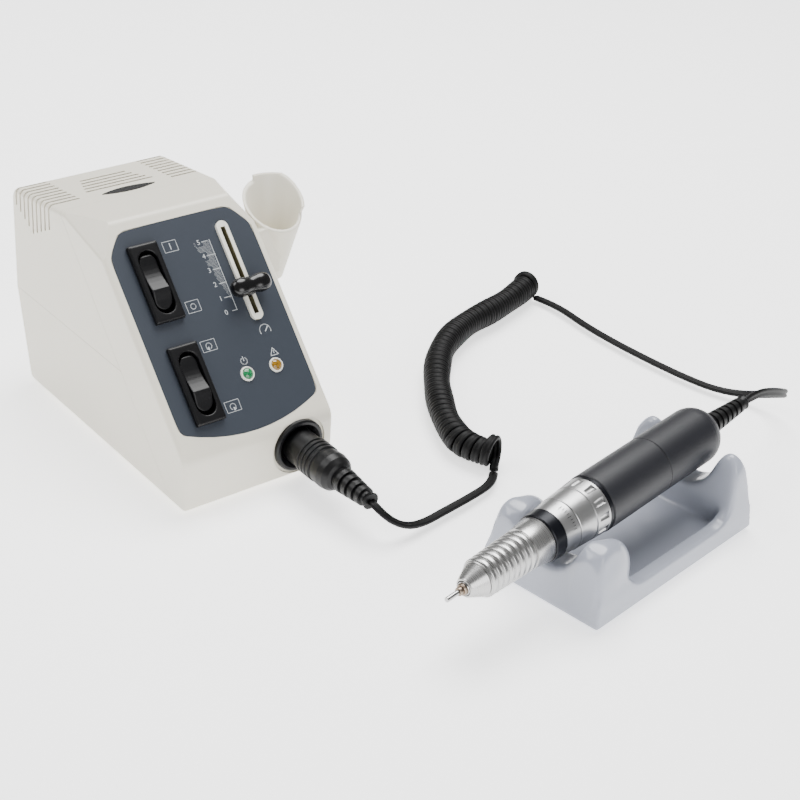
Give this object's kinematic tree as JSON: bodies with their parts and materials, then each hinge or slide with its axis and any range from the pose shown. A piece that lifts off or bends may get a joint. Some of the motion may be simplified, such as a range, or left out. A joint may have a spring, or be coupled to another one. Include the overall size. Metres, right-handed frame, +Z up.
{
  "type": "electric nail drill",
  "caption": "Nail drill set: wedge-shaped control unit with rockers and speed slider, side holder, curly lead, and a steel-nosed handpiece lying in its cradle.",
  "frame": {"origin": "middle of the footprint of the control unit, cradle and handpiece, on the table surface", "axes": "+Z up, +X to the right of the control panel, +Y to the back of the control unit"},
  "size_m": [0.3169, 0.3348, 0.1155],
  "materials": {
    "casing_plastic": "fine moulded texture, warm white",
    "overlay_film": "fine grained printed film",
    "badge_film": "smooth",
    "black_gloss_plastic": "semi gloss",
    "black_rubber": "satin",
    "lead_sheath": "smooth PVC sheath",
    "green_lens": "diffused lens",
    "amber_lens": "diffused lens",
    "polished_steel": "turned and polished",
    "black_anodised": "satin black",
    "soft_touch_grip": "soft touch coating",
    "cradle_plastic": "glossy light grey",
    "motor_steel": "plain",
    "copper": "enamelled copper",
    "board_laminate": "glass fibre laminate",
    "component_plastic": "moulded",
    "heat_sink_aluminium": "extruded"
  },
  "bodies": {
    "housing": {"badge_plate": "badge_film", "black_band": "black_anodised", "board_components": "component_plastic", "bottom_chassis": "casing_plastic", "carbon_brushes": "motor_steel", "case_screws": "polished_steel", "circuit_board": "board_laminate", "cord_boot": "black_rubber", "cradle_pads": "black_rubber", "direction_switch": "black_gloss_plastic", "front_bezel": "casing_plastic", "front_grip": "soft_touch_grip", "fuse_holder": "component_plastic", "handpiece_cradle": "cradle_plastic", "handpiece_socket": "black_gloss_plastic", "heat_sink": "heat_sink_aluminium", "holder_screws": "polished_steel", "index_sleeve": "polished_steel", "joint_ring": "black_anodised", "lead_coil": "lead_sheath", "lead_handpiece_end": "lead_sheath", "lead_plug_end": "lead_sheath", "mains_inlet": "component_plastic", "motor_can": "motor_steel", "motor_end_cap": "motor_steel", "motor_magnets": "motor_steel", "nose_sleeve": "polished_steel", "overload_lamp": "amber_lens", "overload_lamp_ring": "casing_plastic", "panel_overlay": "overlay_film", "plug_strain_relief": "black_rubber", "power_lamp": "green_lens", "power_lamp_ring": "casing_plastic", "power_switch": "black_gloss_plastic", "rear_grip": "soft_touch_grip", "rubber_feet": "black_rubber", "side_holder": "casing_plastic", "slide_potentiometer": "component_plastic", "slider_frame": "casing_plastic", "socket_plug": "black_rubber", "spindle_bearings": "polished_steel", "top_cover": "casing_plastic", "transformer_core": "motor_steel", "transformer_winding": "copper"},
    "power_rocker": {"power_rocker": "black_gloss_plastic"},
    "direction_rocker": {"direction_rocker": "black_gloss_plastic"},
    "speed_slider": {"slider_knob": "black_gloss_plastic"},
    "chuck_ring": {"chuck_ring": "polished_steel"},
    "spindle": {"spindle": "polished_steel", "drive_coupling": "polished_steel", "motor_rotor": "motor_steel", "commutator": "copper", "chuck_springs": "polished_steel"},
    "collet": {"collet": "polished_steel", "mandrel_pin": "polished_steel"}
  },
  "joints": [
    {"name": "power_rocker_tilt", "type": "hinge", "parent": "housing", "child": "power_rocker", "pos_m": [-0.10505, 0.06604, 0.08954], "axis": [1, 0, 0], "range_deg": [0, 12]},
    {"name": "direction_rocker_tilt", "type": "hinge", "parent": "housing", "child": "direction_rocker", "pos_m": [-0.10505, 0.03043, 0.05206], "axis": [1, 0, 0], "range_deg": [0, 12]},
    {"name": "speed_slide", "type": "slide", "parent": "housing", "child": "speed_slider", "axis": [0, 0.6888, 0.7249], "range_m": [-0.0083, 0.0276]},
    {"name": "chuck_ring_turn", "type": "hinge", "parent": "housing", "child": "chuck_ring", "pos_m": [-0.008, -0.1306, 0.03549], "axis": [0.9867, 0.1563, 0.0436], "range_deg": [0, 60]},
    {"name": "spindle_spin", "type": "hinge", "parent": "housing", "child": "spindle", "pos_m": [-0.04156, -0.13591, 0.03401], "axis": [0.9867, 0.1563, 0.0436], "continuous": true},
    {"name": "collet_slide", "type": "slide", "parent": "spindle", "child": "collet", "axis": [-0.9867, -0.1563, -0.0436], "range_m": [0, 0.0011]}
  ],
  "couplings": [
    {"joint": "collet_slide", "follows": "chuck_ring_turn", "m_per_rad": 0.00095493}
  ]
}
